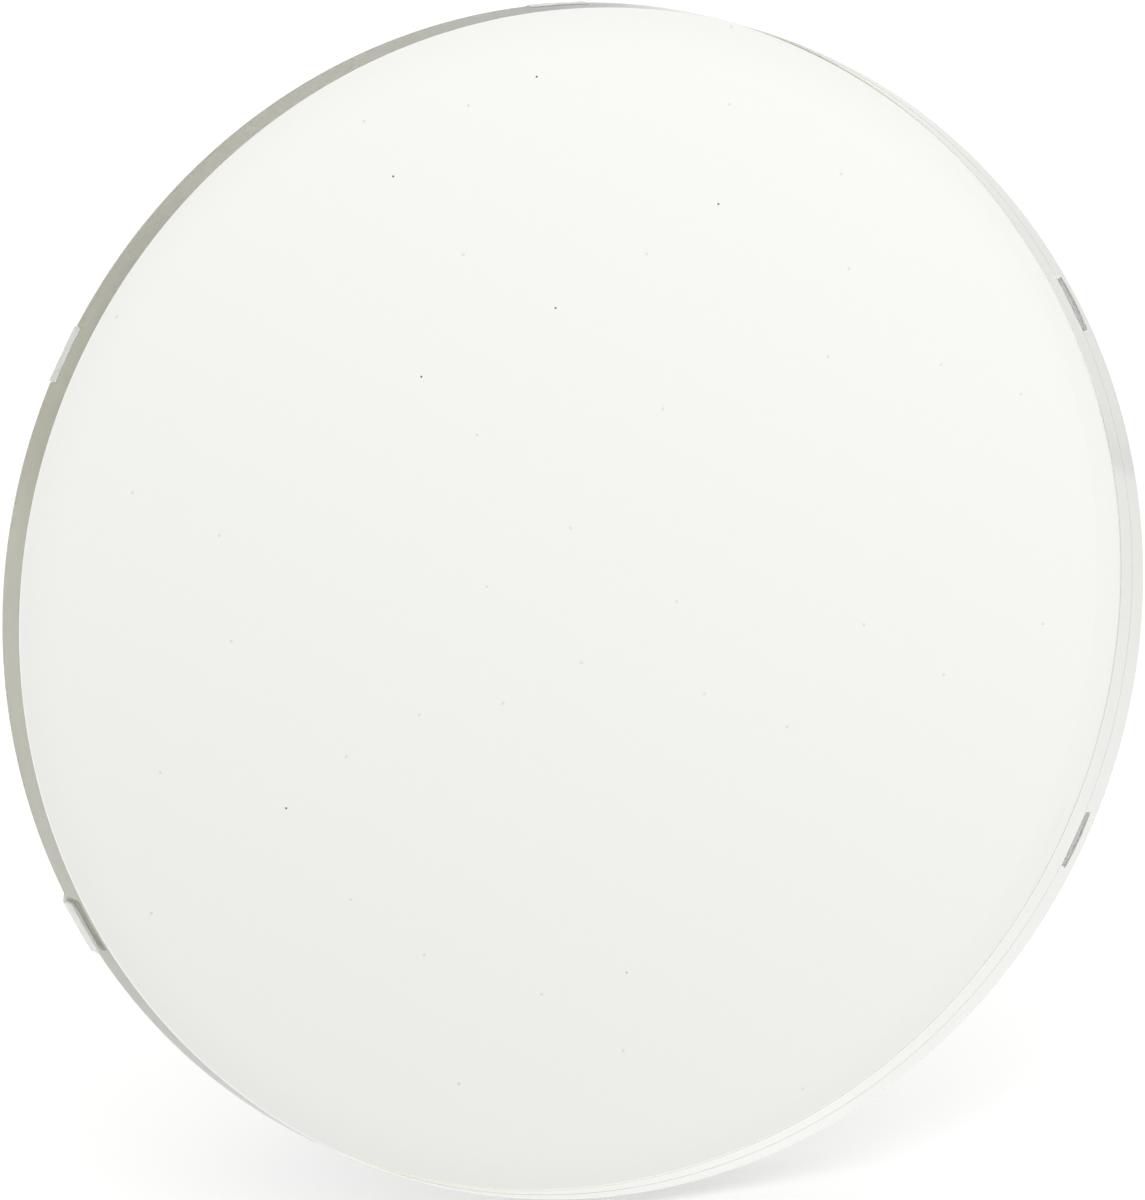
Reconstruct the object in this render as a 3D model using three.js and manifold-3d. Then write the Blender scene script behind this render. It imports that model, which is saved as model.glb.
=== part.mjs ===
// A frameless round countertop mirror: a thick clear slab, silvered on its back, bonded to a backing
// plate that carries six clear edge clips and a hinged easel strut.
// Millimetres, +Z up, the mirror faces -Y. The origin is on the counter, under the middle of its box.

import * as THREE from 'three';
import { mergeVertices } from 'three/addons/utils/BufferGeometryUtils.js';
import Module from 'manifold-3d';

const wasm = await Module();
wasm.setup();

// ---------------------------------------------------------------- driving dimensions

// The gap between faces that touch on the real object.
const CONTACT_GAP = 0.3;

// Stance
const LEAN_DEG = 12;
const STRUT_SPLAY_DEG = 9;

// Mirror slab and its layers, front to back
const DISC_DIAMETER = 300;
const GLASS_THICKNESS = 12;
const GLASS_ARRIS = 0.5;
const SILVER_THICKNESS = 0.6;
const SILVER_INSET = 0.2;
const FOAM_THICKNESS = 1;
const BACKING_THICKNESS = 3;
const BACKING_INSET = 6;
const BACKING_ARRIS = 0.4;

// Edge clips: the first sits near the top, the others follow clockwise as seen from the front.
const CLIP_WIDTH = 15;
const CLIP_WALL = 0.9;
const CLIP_FLANGE_THICKNESS = 1.4;
const CLIP_FLANGE_LENGTH = 15;
const CLIP_BACK_TAPER = 0.45;
const CLIP_TURN_DEG = 3;
// trim: degrees off the even spacing. proud: how far the lip stands out of the rim.
// reach: how far the lip comes forward over the slab and its silvering.
const CLIP_SEATS = [
  { trim: 0.3, proud: 0.25, reach: 3.5 },
  { trim: 4, proud: 0.25, reach: 3.5 },
  { trim: -2, proud: 0.25, reach: 3.5 },
  { trim: -1, proud: 1.1, reach: 6 },
  { trim: 1.3, proud: 1.1, reach: 6 },
  { trim: -1.6, proud: 0.25, reach: 3.5 },
];
// The clip the mirror stands on has a level sole, ground this far into its lip.
const RESTING_CLIP = 3;
const SOLE_GRIND = 0.3;

// Screws
const CLIP_SCREW = { shank: 2.5, head: 4.6, headHeight: 1.2, socket: 1.5, bite: 2.4 };
const CLIP_SCREW_INSET = 13;
const BRACKET_SCREW = { shank: 3, head: 5.8, headHeight: 1.6, socket: 2, bite: 2.6 };
const BRACKET_SCREW_SPACING_X = 42;
const BRACKET_SCREW_SPACING_Z = 24;
// A screw head's side, shoulder and crown, as shares of the head's height and radius
const HEAD_SIDE_HEIGHT_SHARE = 0.5;
const HEAD_SHOULDER_HEIGHT_SHARE = 0.85;
const HEAD_SHOULDER_RADIUS_SHARE = 0.86;
const HEAD_CROWN_RADIUS_SHARE = 0.6;
const SOCKET_DEPTH_SHARE = 0.6;

// Hinge
const HINGE_ABOVE_CENTRE = 50;
const HINGE_STANDOFF = 9.5;
const BRACKET_WIDTH = 54;
const BRACKET_HEIGHT = 40;
const BRACKET_CORNER = 5;
const BRACKET_THICKNESS = 2;
const EAR_THICKNESS = 2.5;
const EAR_RADIUS = 6;
const EAR_ROOT_HALF_HEIGHT = 10;
const PIN_DIAMETER = 5;
const PIN_HEAD_DIAMETER = 8;
const PIN_HEAD_LENGTH = 1.6;
const PIN_END_CHAMFER = 0.6;
const PIN_GROOVE_DEPTH = 0.7;
const PIN_GROOVE_WIDTH = 1.5;
const PIN_TAIL = 1.4;
const RING_OUTER_DIAMETER = 9;
const RING_OPENING_DEG = 70;
const WASHER_THICKNESS = 1;
const WASHER_DIAMETER = 9;

// Strut
const BARREL_DIAMETER = 9.6;
const BARREL_LENGTH = 24;
const STRUT_THICKNESS = 2.5;
const STRUT_TOP_WIDTH = 22;
const STRUT_FOOT_WIDTH = 48;
const STRUT_CORNER = 6;
const HEEL_WIDTH = 18;
const HEEL_CORNER = 4;

// Rubber foot
const FOOT_LENGTH = 56;
const FOOT_WALL = 3;
const FOOT_INSERTION = 7;
const FOOT_SOLE_THICKNESS = 3.5;
const FOOT_ROUNDING = 3;

// Smoothness
const DISC_SEGMENTS = 120;
const HOLE_SEGMENTS = 16;
const ROUND_SEGMENTS = 36;
const CORNER_SEGMENTS = 6;

// How far a cutting tool runs past the face it cuts through.
const CUT_OVERRUN = 1;
// Corners closer than this are one corner.
const WELD_DISTANCE = 1e-4;

// ---------------------------------------------------------------- derived sizes

const LEAN = THREE.MathUtils.degToRad(LEAN_DEG);
const SPLAY = THREE.MathUtils.degToRad(STRUT_SPLAY_DEG);
const STRUT_OPENING = LEAN + SPLAY;

// In the mirror's own frame the slab's front face is at y = 0 and depth grows towards +y.
const DISC_RADIUS = DISC_DIAMETER / 2;
const SILVER_FRONT = GLASS_THICKNESS + CONTACT_GAP;
const SILVER_BACK = SILVER_FRONT + SILVER_THICKNESS;
const FOAM_FRONT = SILVER_BACK + CONTACT_GAP;
const BACKING_FRONT = FOAM_FRONT + FOAM_THICKNESS + CONTACT_GAP;
const BACKING_BACK = BACKING_FRONT + BACKING_THICKNESS;
const BACKING_RADIUS = DISC_RADIUS - BACKING_INSET;
const FLANGE_FRONT = BACKING_BACK + CONTACT_GAP;
const FLANGE_BACK = FLANGE_FRONT + CLIP_FLANGE_THICKNESS;
const BRACKET_FRONT = BACKING_BACK + CONTACT_GAP;
const BRACKET_BACK = BRACKET_FRONT + BRACKET_THICKNESS;
const HINGE_DEPTH = BACKING_BACK + HINGE_STANDOFF;

const WASHER_X = BARREL_LENGTH / 2 + CONTACT_GAP;
const EAR_INNER_X = WASHER_X + WASHER_THICKNESS + CONTACT_GAP;
const EAR_OUTER_X = EAR_INNER_X + EAR_THICKNESS;
// The pin's head starts this far to the left, and its groove this far to the right.
const PIN_SHOULDER_X = EAR_OUTER_X + CONTACT_GAP;
const PIN_HOLE_RADIUS = PIN_DIAMETER / 2 + CONTACT_GAP;
const PIN_GROOVE_RADIUS = PIN_DIAMETER / 2 - PIN_GROOVE_DEPTH;
const RING_THICKNESS = PIN_GROOVE_WIDTH - 2 * CONTACT_GAP;

// The counter is at height 0: the mirror's own origin is lifted until the resting clip's sole meets it.
const restingRadius = DISC_RADIUS + CLIP_SEATS[RESTING_CLIP].proud;
const MIRROR_HEIGHT = SILVER_BACK * Math.sin(LEAN) + restingRadius * Math.cos(LEAN) - SOLE_GRIND;
const mirrorPlace = new THREE.Matrix4().makeRotationX(-LEAN).setPosition(0, 0, MIRROR_HEIGHT);
const HINGE_HEIGHT = MIRROR_HEIGHT + HINGE_ABOVE_CENTRE * Math.cos(LEAN) - HINGE_DEPTH * Math.sin(LEAN);

// In the strut's own frame the hinge axis is at 0 and the strut runs down -z.
const SOLE_Z = -HINGE_HEIGHT / Math.cos(SPLAY);
const STRUT_END_Z = SOLE_Z + FOOT_SOLE_THICKNESS + CONTACT_GAP;
const FOOT_TOP_Z = STRUT_END_Z + FOOT_INSERTION;
const FOOT_SLOT_HALF = STRUT_THICKNESS / 2 + CONTACT_GAP;
const FOOT_HALF_DEPTH = FOOT_SLOT_HALF + FOOT_WALL;

// The heel is as long as it takes to meet the bracket's base when the strut is fully open.
const heelRoom = HINGE_STANDOFF - (BRACKET_BACK - BACKING_BACK) - CONTACT_GAP;
const HEEL_LENGTH = (heelRoom - (STRUT_THICKNESS / 2) * Math.cos(STRUT_OPENING)) / Math.sin(STRUT_OPENING);

// ---------------------------------------------------------------- solids and joins

function toManifold(geometry) {
  const bare = geometry.clone();
  bare.deleteAttribute('normal');
  bare.deleteAttribute('uv');
  const merged = mergeVertices(bare, WELD_DISTANCE);
  const vertProperties = new Float32Array(merged.attributes.position.array);
  const triVerts = new Uint32Array(merged.index.array);
  return new wasm.Manifold(new wasm.Mesh({ numProp: 3, vertProperties, triVerts }));
}

function fromManifold(solid) {
  const mesh = solid.getMesh();
  const geometry = new THREE.BufferGeometry();
  geometry.setAttribute('position', new THREE.BufferAttribute(new Float32Array(mesh.vertProperties), 3));
  geometry.setIndex(new THREE.BufferAttribute(new Uint32Array(mesh.triVerts), 1));
  return geometry;
}

function join(first, ...others) {
  const total = others.reduce((solid, other) => solid.add(toManifold(other)), toManifold(first));
  return fromManifold(total);
}

function cut(first, ...tools) {
  const total = tools.reduce((solid, tool) => solid.subtract(toManifold(tool)), toManifold(first));
  return fromManifold(total);
}

function common(first, second) {
  return fromManifold(toManifold(first).intersect(toManifold(second)));
}

// A solid of revolution about the y axis, from [radius, y] pairs.
function turned(profile, segments) {
  const points = profile.map(([radius, y]) => new THREE.Vector2(radius, y));
  return new THREE.LatheGeometry(points, segments);
}

// A plate in the x-z plane that runs from y = front to y = front + thickness.
function plate(shape, front, thickness, curveSegments = HOLE_SEGMENTS) {
  const geometry = new THREE.ExtrudeGeometry(shape, { depth: thickness, bevelEnabled: false, curveSegments });
  geometry.rotateX(Math.PI / 2);
  geometry.translate(0, front + thickness, 0);
  return geometry;
}

// A bar of constant section: the shape's own x and y become y and z, and the bar runs along x.
function barAlongX(shape, start, end, curveSegments = HOLE_SEGMENTS) {
  const depth = end - start;
  const geometry = new THREE.ExtrudeGeometry(shape, { depth, bevelEnabled: false, curveSegments });
  const toYZX = new THREE.Matrix4().makeBasis(
    new THREE.Vector3(0, 1, 0),
    new THREE.Vector3(0, 0, 1),
    new THREE.Vector3(1, 0, 0),
  );
  geometry.applyMatrix4(toYZX);
  geometry.translate(start, 0, 0);
  return geometry;
}

function outline(points) {
  return new THREE.Shape(points.map(([x, y]) => new THREE.Vector2(x, y)));
}

function circleHole(x, y, radius) {
  const hole = new THREE.Path();
  hole.absarc(x, y, radius, 0, 2 * Math.PI, true);
  return hole;
}

function circleShape(radius) {
  const shape = new THREE.Shape();
  shape.absarc(0, 0, radius, 0, 2 * Math.PI, false);
  return shape;
}

function roundedRectangle(left, bottom, right, top, corner) {
  const quarter = Math.PI / 2;
  const shape = new THREE.Shape();
  shape.absarc(right - corner, top - corner, corner, 0, quarter, false);
  shape.absarc(left + corner, top - corner, corner, quarter, 2 * quarter, false);
  shape.absarc(left + corner, bottom + corner, corner, 2 * quarter, 3 * quarter, false);
  shape.absarc(right - corner, bottom + corner, corner, 3 * quarter, 4 * quarter, false);
  return shape;
}

function cylinderAlongX(radius, start, end) {
  const geometry = new THREE.CylinderGeometry(radius, radius, end - start, ROUND_SEGMENTS);
  geometry.rotateZ(-Math.PI / 2);
  geometry.translate((start + end) / 2, 0, 0);
  return geometry;
}

function cylinderAlongY(radius, start, end, x, z) {
  const geometry = new THREE.CylinderGeometry(radius, radius, end - start, HOLE_SEGMENTS);
  geometry.translate(x, (start + end) / 2, z);
  return geometry;
}

// ---------------------------------------------------------------- clip placing

function clipAngle(index) {
  const evenStep = 360 / CLIP_SEATS.length;
  return THREE.MathUtils.degToRad(CLIP_TURN_DEG + index * evenStep + CLIP_SEATS[index].trim);
}

// A point at this radius on the clip's centre line, as [x, z].
function onClipLine(index, radius) {
  const angle = clipAngle(index);
  return [radius * Math.sin(angle), radius * Math.cos(angle)];
}

const CLIP_SCREW_RADIUS = DISC_RADIUS - CLIP_SCREW_INSET;

// ---------------------------------------------------------------- mirror

// The pocket in the rim's rear edge that takes a clip's lip.
function clipPocket(index) {
  const seat = CLIP_SEATS[index];
  const floor = DISC_RADIUS + seat.proud - CLIP_WALL - CONTACT_GAP;
  const width = CLIP_WIDTH + 2 * CONTACT_GAP;
  const front = SILVER_BACK - seat.reach - CONTACT_GAP;
  const depth = SILVER_BACK + CONTACT_GAP - front;
  const height = DISC_RADIUS - floor + CLIP_WALL;
  const pocket = new THREE.BoxGeometry(width, depth, height);
  pocket.translate(0, front + depth / 2, floor + height / 2);
  pocket.rotateY(clipAngle(index));
  return pocket;
}

const clipPockets = CLIP_SEATS.map((_, index) => clipPocket(index));

function mirrorGlass() {
  const slab = turned([
    [0, 0],
    [DISC_RADIUS - GLASS_ARRIS, 0],
    [DISC_RADIUS, GLASS_ARRIS],
    [DISC_RADIUS, GLASS_THICKNESS - GLASS_ARRIS],
    [DISC_RADIUS - GLASS_ARRIS, GLASS_THICKNESS],
    [0, GLASS_THICKNESS],
  ], DISC_SEGMENTS);
  return cut(slab, ...clipPockets);
}

function mirrorSilvering() {
  const radius = DISC_RADIUS - SILVER_INSET;
  const coat = turned([
    [0, SILVER_FRONT],
    [radius, SILVER_FRONT],
    [radius, SILVER_BACK],
    [0, SILVER_BACK],
  ], DISC_SEGMENTS);
  return cut(coat, ...clipPockets);
}

function bondingFoam() {
  return plate(circleShape(BACKING_RADIUS), FOAM_FRONT, FOAM_THICKNESS, DISC_SEGMENTS);
}

const bracketScrewPlaces = [];
for (const sideX of [-1, 1]) {
  for (const sideZ of [-1, 1]) {
    const x = sideX * BRACKET_SCREW_SPACING_X / 2;
    const z = HINGE_ABOVE_CENTRE + sideZ * BRACKET_SCREW_SPACING_Z / 2;
    bracketScrewPlaces.push([x, z]);
  }
}
const clipScrewPlaces = CLIP_SEATS.map((_, index) => onClipLine(index, CLIP_SCREW_RADIUS));

function screwHoleRadius(screw) {
  return screw.shank / 2 + CONTACT_GAP;
}

function backingPlate() {
  const disc = turned([
    [0, BACKING_FRONT],
    [BACKING_RADIUS, BACKING_FRONT],
    [BACKING_RADIUS, BACKING_BACK - BACKING_ARRIS],
    [BACKING_RADIUS - BACKING_ARRIS, BACKING_BACK],
    [0, BACKING_BACK],
  ], DISC_SEGMENTS);
  const drill = (screw) => ([x, z]) =>
    cylinderAlongY(screwHoleRadius(screw), BACKING_FRONT - CUT_OVERRUN, BACKING_BACK + CUT_OVERRUN, x, z);
  return cut(disc, ...bracketScrewPlaces.map(drill(BRACKET_SCREW)), ...clipScrewPlaces.map(drill(CLIP_SCREW)));
}

// ---------------------------------------------------------------- clips and screws

// An L-shaped clip: its lip lies in the rim's pocket and its flange is screwed to the backing plate.
// Behind the mirror its outer side tapers inwards.
function edgeClip(index) {
  const seat = CLIP_SEATS[index];
  const outer = DISC_RADIUS + seat.proud;
  const inner = outer - CLIP_WALL;
  const flangeOuter = outer - CLIP_BACK_TAPER * (FLANGE_BACK - SILVER_BACK);
  const flangeInner = BACKING_RADIUS - CLIP_FLANGE_LENGTH;
  const overBacking = BACKING_RADIUS + CONTACT_GAP;
  const section = outline([
    [SILVER_BACK - seat.reach, inner],
    [FOAM_FRONT, inner],
    [FOAM_FRONT, overBacking],
    [FLANGE_FRONT, overBacking],
    [FLANGE_FRONT, flangeInner],
    [FLANGE_BACK, flangeInner],
    [FLANGE_BACK, flangeOuter],
    [SILVER_BACK, outer],
    [SILVER_BACK - seat.reach, outer],
  ]);
  const bar = barAlongX(section, -CLIP_WIDTH / 2, CLIP_WIDTH / 2);
  const screwHole = cylinderAlongY(
    screwHoleRadius(CLIP_SCREW), FLANGE_FRONT - CUT_OVERRUN, FLANGE_BACK + CUT_OVERRUN, 0, CLIP_SCREW_RADIUS,
  );
  const drilled = cut(bar, screwHole);
  drilled.rotateY(clipAngle(index));
  const envelopeBack = FLANGE_BACK + CUT_OVERRUN;
  const envelope = turned([[0, 0], [outer, 0], [outer, envelopeBack], [0, envelopeBack]], DISC_SEGMENTS);
  const rounded = common(drilled, envelope);
  if (index !== RESTING_CLIP) {
    return rounded;
  }
  const counter = new THREE.BoxGeometry(DISC_DIAMETER, DISC_DIAMETER, DISC_DIAMETER);
  counter.translate(0, 0, -DISC_RADIUS);
  counter.applyMatrix4(mirrorPlace.clone().invert());
  return cut(rounded, counter);
}

// A pan-head screw along y with a hexagon socket. Its head sits behind the face at y = seat and its
// shank bites into the backing plate.
function panScrew(screw, seat, x, z) {
  const under = seat + CONTACT_GAP;
  const top = under + screw.headHeight;
  const headRadius = screw.head / 2;
  const tip = BACKING_BACK - screw.bite;
  const body = turned([
    [0, tip],
    [screw.shank / 2 - CONTACT_GAP, tip],
    [screw.shank / 2, tip + CONTACT_GAP],
    [screw.shank / 2, under],
    [headRadius, under],
    [headRadius, under + HEAD_SIDE_HEIGHT_SHARE * screw.headHeight],
    [HEAD_SHOULDER_RADIUS_SHARE * headRadius, under + HEAD_SHOULDER_HEIGHT_SHARE * screw.headHeight],
    [HEAD_CROWN_RADIUS_SHARE * headRadius, top],
    [0, top],
  ], HOLE_SEGMENTS);
  const socketDepth = SOCKET_DEPTH_SHARE * screw.headHeight;
  const socketRadius = screw.socket / Math.sqrt(3);
  const socket = new THREE.CylinderGeometry(socketRadius, socketRadius, 2 * socketDepth, 6);
  socket.translate(0, top, 0);
  const geometry = cut(body, socket);
  geometry.translate(x, 0, z);
  return geometry;
}

// ---------------------------------------------------------------- hinge

function hingeBracket() {
  const halfWidth = BRACKET_WIDTH / 2;
  const halfHeight = BRACKET_HEIGHT / 2;
  const baseShape = roundedRectangle(-halfWidth, -halfHeight, halfWidth, halfHeight, BRACKET_CORNER);
  for (const [x, z] of bracketScrewPlaces) {
    baseShape.holes.push(circleHole(x, z - HINGE_ABOVE_CENTRE, screwHoleRadius(BRACKET_SCREW)));
  }
  const base = plate(baseShape, BRACKET_FRONT - HINGE_DEPTH, BRACKET_THICKNESS);
  const baseBackY = BRACKET_BACK - HINGE_DEPTH;
  const rootY = baseBackY - BRACKET_THICKNESS / 2;
  const earShape = new THREE.Shape();
  earShape.moveTo(rootY, -EAR_ROOT_HALF_HEIGHT);
  earShape.lineTo(baseBackY, -EAR_ROOT_HALF_HEIGHT);
  earShape.absarc(0, 0, EAR_RADIUS, -Math.PI / 2, Math.PI / 2, false);
  earShape.lineTo(baseBackY, EAR_ROOT_HALF_HEIGHT);
  earShape.lineTo(rootY, EAR_ROOT_HALF_HEIGHT);
  earShape.closePath();
  earShape.holes.push(circleHole(0, 0, PIN_HOLE_RADIUS));
  const rightEar = barAlongX(earShape, EAR_INNER_X, EAR_OUTER_X);
  const leftEar = barAlongX(earShape, -EAR_OUTER_X, -EAR_INNER_X);
  return join(base, rightEar, leftEar);
}

function hingePin() {
  const radius = PIN_DIAMETER / 2;
  const headRadius = PIN_HEAD_DIAMETER / 2;
  const headEnd = PIN_SHOULDER_X + PIN_HEAD_LENGTH;
  const grooveEnd = PIN_SHOULDER_X + PIN_GROOVE_WIDTH;
  const tailEnd = grooveEnd + PIN_TAIL;
  const pin = turned([
    [0, -headEnd],
    [headRadius - PIN_END_CHAMFER, -headEnd],
    [headRadius, -headEnd + PIN_END_CHAMFER],
    [headRadius, -PIN_SHOULDER_X],
    [radius, -PIN_SHOULDER_X],
    [radius, PIN_SHOULDER_X],
    [PIN_GROOVE_RADIUS, PIN_SHOULDER_X],
    [PIN_GROOVE_RADIUS, grooveEnd],
    [radius, grooveEnd],
    [radius, tailEnd - PIN_END_CHAMFER],
    [radius - PIN_END_CHAMFER, tailEnd],
    [0, tailEnd],
  ], ROUND_SEGMENTS);
  pin.rotateZ(-Math.PI / 2);
  return pin;
}

// An open ring that snaps into the pin's groove.
function pinRetainingRing() {
  const outer = RING_OUTER_DIAMETER / 2;
  const inner = PIN_GROOVE_RADIUS + CONTACT_GAP;
  const start = THREE.MathUtils.degToRad(RING_OPENING_DEG / 2);
  const end = 2 * Math.PI - start;
  const shape = new THREE.Shape();
  shape.absarc(0, 0, outer, start, end, false);
  shape.absarc(0, 0, inner, end, start, true);
  shape.closePath();
  const from = PIN_SHOULDER_X + CONTACT_GAP;
  return barAlongX(shape, from, from + RING_THICKNESS, ROUND_SEGMENTS);
}

function hingeWasher(start) {
  const shape = circleShape(WASHER_DIAMETER / 2);
  shape.holes.push(circleHole(0, 0, PIN_HOLE_RADIUS));
  return barAlongX(shape, start, start + WASHER_THICKNESS, ROUND_SEGMENTS);
}

// ---------------------------------------------------------------- strut

// The blade runs from the heel's tip through the barrel down to its rounded lower corners.
function strutBlade() {
  const quarter = Math.PI / 2;
  const halfTop = STRUT_TOP_WIDTH / 2;
  const halfFoot = STRUT_FOOT_WIDTH / 2;
  const halfHeel = HEEL_WIDTH / 2;
  const corner = halfFoot - STRUT_CORNER;
  const shape = new THREE.Shape();
  shape.moveTo(-halfTop, 0);
  shape.lineTo(-halfFoot, STRUT_END_Z + STRUT_CORNER);
  shape.absarc(-corner, STRUT_END_Z + STRUT_CORNER, STRUT_CORNER, -2 * quarter, -quarter, false);
  shape.absarc(corner, STRUT_END_Z + STRUT_CORNER, STRUT_CORNER, -quarter, 0, false);
  shape.lineTo(halfTop, 0);
  shape.lineTo(halfHeel, 0);
  shape.absarc(halfHeel - HEEL_CORNER, HEEL_LENGTH - HEEL_CORNER, HEEL_CORNER, 0, quarter, false);
  shape.absarc(-halfHeel + HEEL_CORNER, HEEL_LENGTH - HEEL_CORNER, HEEL_CORNER, quarter, 2 * quarter, false);
  shape.lineTo(-halfHeel, 0);
  shape.closePath();
  return plate(shape, -STRUT_THICKNESS / 2, STRUT_THICKNESS, CORNER_SEGMENTS);
}

function strut() {
  const halfBarrel = BARREL_LENGTH / 2;
  const barrel = cylinderAlongX(BARREL_DIAMETER / 2, -halfBarrel, halfBarrel);
  const bore = cylinderAlongX(PIN_HOLE_RADIUS, -halfBarrel - CUT_OVERRUN, halfBarrel + CUT_OVERRUN);
  return cut(join(strutBlade(), barrel), bore);
}

// A rubber channel whose sole is level when the strut is open.
function strutFoot() {
  const soleZ = (y) => SOLE_Z - y * Math.tan(SPLAY);
  const slotFloor = STRUT_END_Z - CONTACT_GAP;
  const section = outline([
    [-FOOT_HALF_DEPTH, soleZ(-FOOT_HALF_DEPTH)],
    [FOOT_HALF_DEPTH, soleZ(FOOT_HALF_DEPTH)],
    [FOOT_HALF_DEPTH, FOOT_TOP_Z - FOOT_WALL / 2],
    [FOOT_HALF_DEPTH - FOOT_WALL / 2, FOOT_TOP_Z],
    [FOOT_SLOT_HALF, FOOT_TOP_Z],
    [FOOT_SLOT_HALF, slotFloor],
    [-FOOT_SLOT_HALF, slotFloor],
    [-FOOT_SLOT_HALF, FOOT_TOP_Z],
    [-FOOT_HALF_DEPTH + FOOT_WALL / 2, FOOT_TOP_Z],
    [-FOOT_HALF_DEPTH, FOOT_TOP_Z - FOOT_WALL / 2],
  ]);
  const halfLength = FOOT_LENGTH / 2;
  const bar = barAlongX(section, -halfLength, halfLength);
  const lowest = soleZ(FOOT_HALF_DEPTH);
  const envelopeShape = roundedRectangle(
    -halfLength, lowest - FOOT_ROUNDING, halfLength, FOOT_TOP_Z, FOOT_ROUNDING,
  );
  return common(bar, plate(envelopeShape, -2 * FOOT_HALF_DEPTH, 4 * FOOT_HALF_DEPTH, CORNER_SEGMENTS));
}

// ---------------------------------------------------------------- materials

function finish(color, roughness, metalness, opacity = 1) {
  return { color, roughness, metalness, opacity, transparent: opacity < 1 };
}

const FINISHES = {
  clearGlass: finish(0xe6ebe6, 0.03, 0, 0.45),
  silver: finish(0xf4f5f3, 0.02, 1),
  foam: finish(0x3a3b3c, 0.95, 0),
  satinAluminium: finish(0x9fa2a4, 0.42, 1),
  clearPlastic: finish(0xeef0ea, 0.12, 0, 0.6),
  brushedSteel: finish(0xb9bab8, 0.32, 1),
  screwSteel: finish(0x8c8d8e, 0.25, 1),
  nylon: finish(0xe9e6dc, 0.5, 0),
  rubber: finish(0x222325, 0.85, 0),
};

function piece(name, geometry, look) {
  const mesh = new THREE.Mesh(geometry, new THREE.MeshStandardMaterial(FINISHES[look]));
  mesh.name = name;
  return mesh;
}

// ---------------------------------------------------------------- assembly

const mirror = new THREE.Group();
mirror.position.z = MIRROR_HEIGHT;
mirror.rotation.x = -LEAN;

mirror.add(piece('mirror_glass', mirrorGlass(), 'clearGlass'));
mirror.add(piece('mirror_silvering', mirrorSilvering(), 'silver'));
mirror.add(piece('bonding_foam', bondingFoam(), 'foam'));
mirror.add(piece('backing_plate', backingPlate(), 'satinAluminium'));

CLIP_SEATS.forEach((_, index) => {
  const [x, z] = clipScrewPlaces[index];
  mirror.add(piece(`edge_clip_${index + 1}`, edgeClip(index), 'clearPlastic'));
  mirror.add(piece(`clip_screw_${index + 1}`, panScrew(CLIP_SCREW, FLANGE_BACK, x, z), 'screwSteel'));
});

bracketScrewPlaces.forEach(([x, z], index) => {
  mirror.add(piece(`bracket_screw_${index + 1}`, panScrew(BRACKET_SCREW, BRACKET_BACK, x, z), 'screwSteel'));
});

const hinge = new THREE.Group();
hinge.position.set(0, HINGE_DEPTH, HINGE_ABOVE_CENTRE);
hinge.add(piece('hinge_bracket', hingeBracket(), 'brushedSteel'));
hinge.add(piece('hinge_pin', hingePin(), 'screwSteel'));
hinge.add(piece('pin_retaining_ring', pinRetainingRing(), 'screwSteel'));
hinge.add(piece('hinge_washer_right', hingeWasher(WASHER_X), 'nylon'));
hinge.add(piece('hinge_washer_left', hingeWasher(-WASHER_X - WASHER_THICKNESS), 'nylon'));
mirror.add(hinge);

const easel = new THREE.Group();
easel.rotation.x = STRUT_OPENING;
easel.add(piece('strut', strut(), 'brushedSteel'));
easel.add(piece('strut_foot', strutFoot(), 'rubber'));
hinge.add(easel);

const countertopMirror = new THREE.Group();
countertopMirror.name = 'countertop_mirror';
countertopMirror.add(mirror);
countertopMirror.updateMatrixWorld(true);

// The finished object is centred over the origin; its soles already lie at height 0.
const box = new THREE.Box3().setFromObject(countertopMirror, true);
mirror.position.x = -(box.min.x + box.max.x) / 2;
mirror.position.y = -(box.min.y + box.max.y) / 2;

export default countertopMirror;
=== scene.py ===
import math

import bmesh
import bpy
from mathutils import Matrix, Vector


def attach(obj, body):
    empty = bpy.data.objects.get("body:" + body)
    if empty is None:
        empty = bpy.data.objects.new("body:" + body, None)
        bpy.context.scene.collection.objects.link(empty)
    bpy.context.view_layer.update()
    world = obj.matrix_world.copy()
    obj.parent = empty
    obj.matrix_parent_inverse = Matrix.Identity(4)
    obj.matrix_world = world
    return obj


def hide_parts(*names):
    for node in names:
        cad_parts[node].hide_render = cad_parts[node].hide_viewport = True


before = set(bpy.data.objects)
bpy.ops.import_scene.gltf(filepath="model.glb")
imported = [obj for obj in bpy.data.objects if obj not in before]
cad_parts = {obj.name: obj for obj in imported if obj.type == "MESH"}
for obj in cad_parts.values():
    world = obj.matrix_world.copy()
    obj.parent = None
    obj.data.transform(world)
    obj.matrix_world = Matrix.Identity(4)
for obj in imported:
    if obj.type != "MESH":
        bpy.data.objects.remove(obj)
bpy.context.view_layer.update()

MM = 0.001

# The camera. It takes in IMAGE_SPAN metres along the picture's longer side, at the distance of its
# aim, which lies a little off the middle of the mirror's face.
CAMERA_AZIMUTH = math.radians(-21.08)
CAMERA_ELEVATION = math.radians(20.48)
CAMERA_DISTANCE = 6.0
SENSOR = 36.0
IMAGE_SPAN = 0.29966
AIM_RIGHT = -3.47 * MM
AIM_UP = 1.31 * MM
CLIP_NEAR = 0.1
CLIP_FAR = 50

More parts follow.
